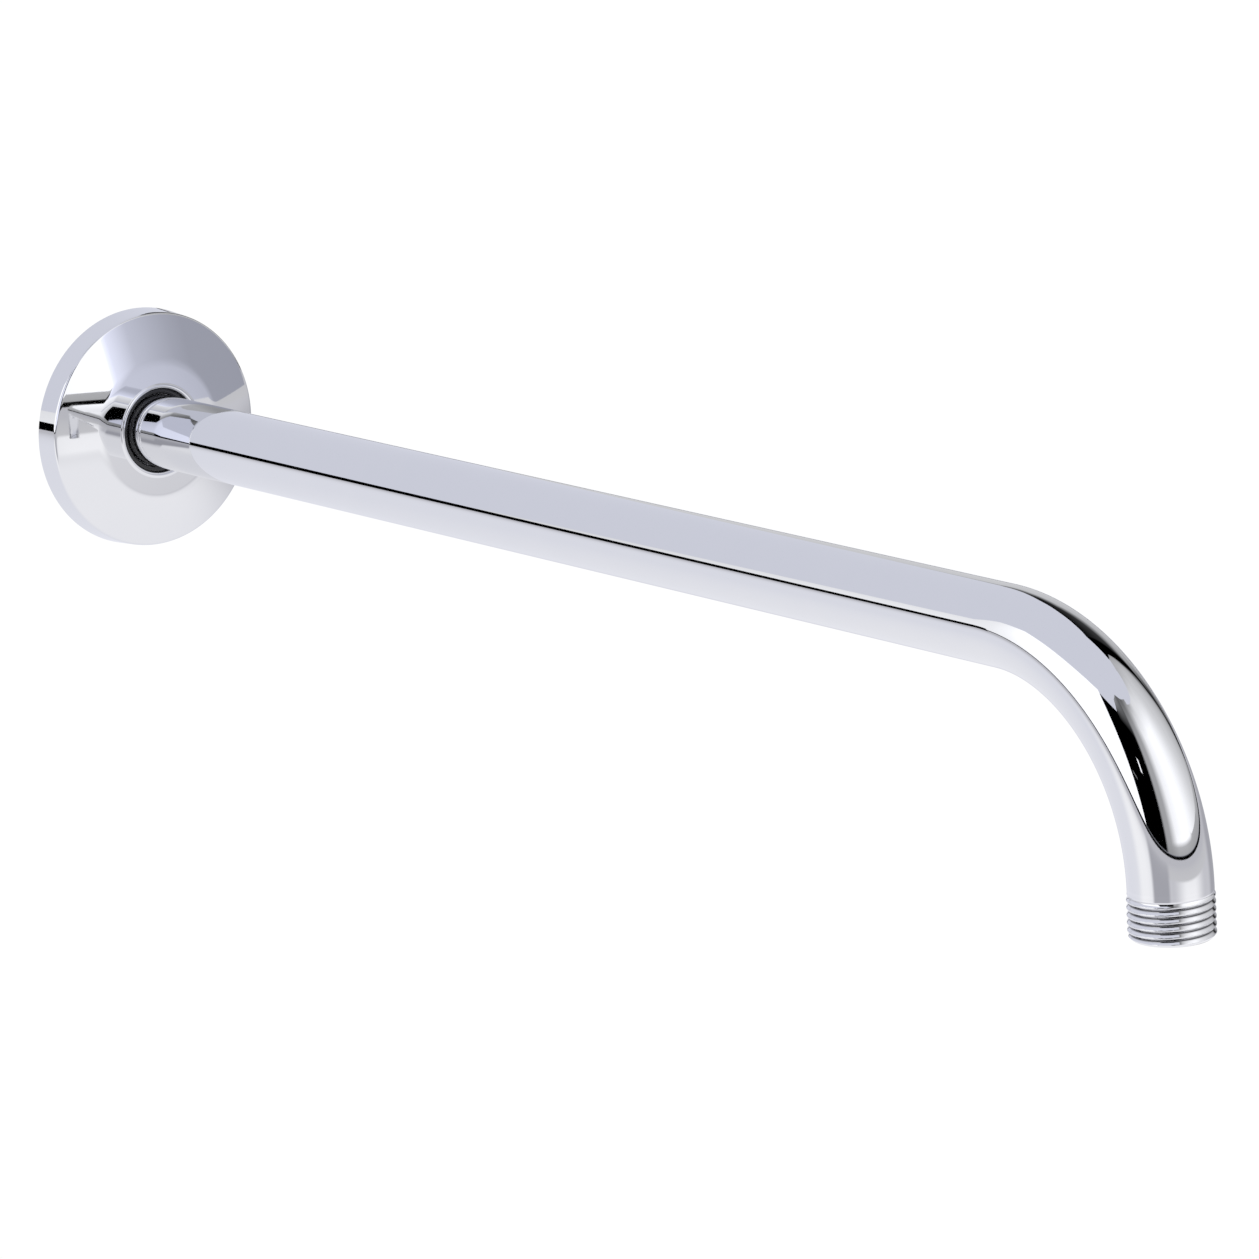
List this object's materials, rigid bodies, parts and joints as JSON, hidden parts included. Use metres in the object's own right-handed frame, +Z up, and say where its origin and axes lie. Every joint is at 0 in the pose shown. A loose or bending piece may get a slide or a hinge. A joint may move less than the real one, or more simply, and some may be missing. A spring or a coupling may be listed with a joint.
{
  "type": "shower arm",
  "caption": "Bent pipe that carries a shower head out from the wall, with male pipe threads on both ends and a loose round wall flange.",
  "frame": {"origin": "on the pipe's axis at the finished wall, in the plane of the flange's back edge", "axes": "+X out of the wall along the straight pipe, +Z up, the outlet points along -Z"},
  "size_m": [0.4635, 0.0678, 0.0999],
  "materials": {
    "chrome_pipe": "bright mirror chrome plate on brass pipe",
    "chrome_flange": "bright mirror chrome plate on turned brass",
    "rubber": "black, slightly glossy"
  },
  "bodies": {
    "arm": {"shower_arm": "chrome_pipe"},
    "wall_flange": {"flange": "chrome_flange", "flange_o_ring": "rubber"}
  },
  "joints": [
    {"name": "flange_slide", "type": "slide", "parent": "arm", "child": "wall_flange", "axis": [1, 0, 0], "range_m": [0, 0.36]}
  ]
}
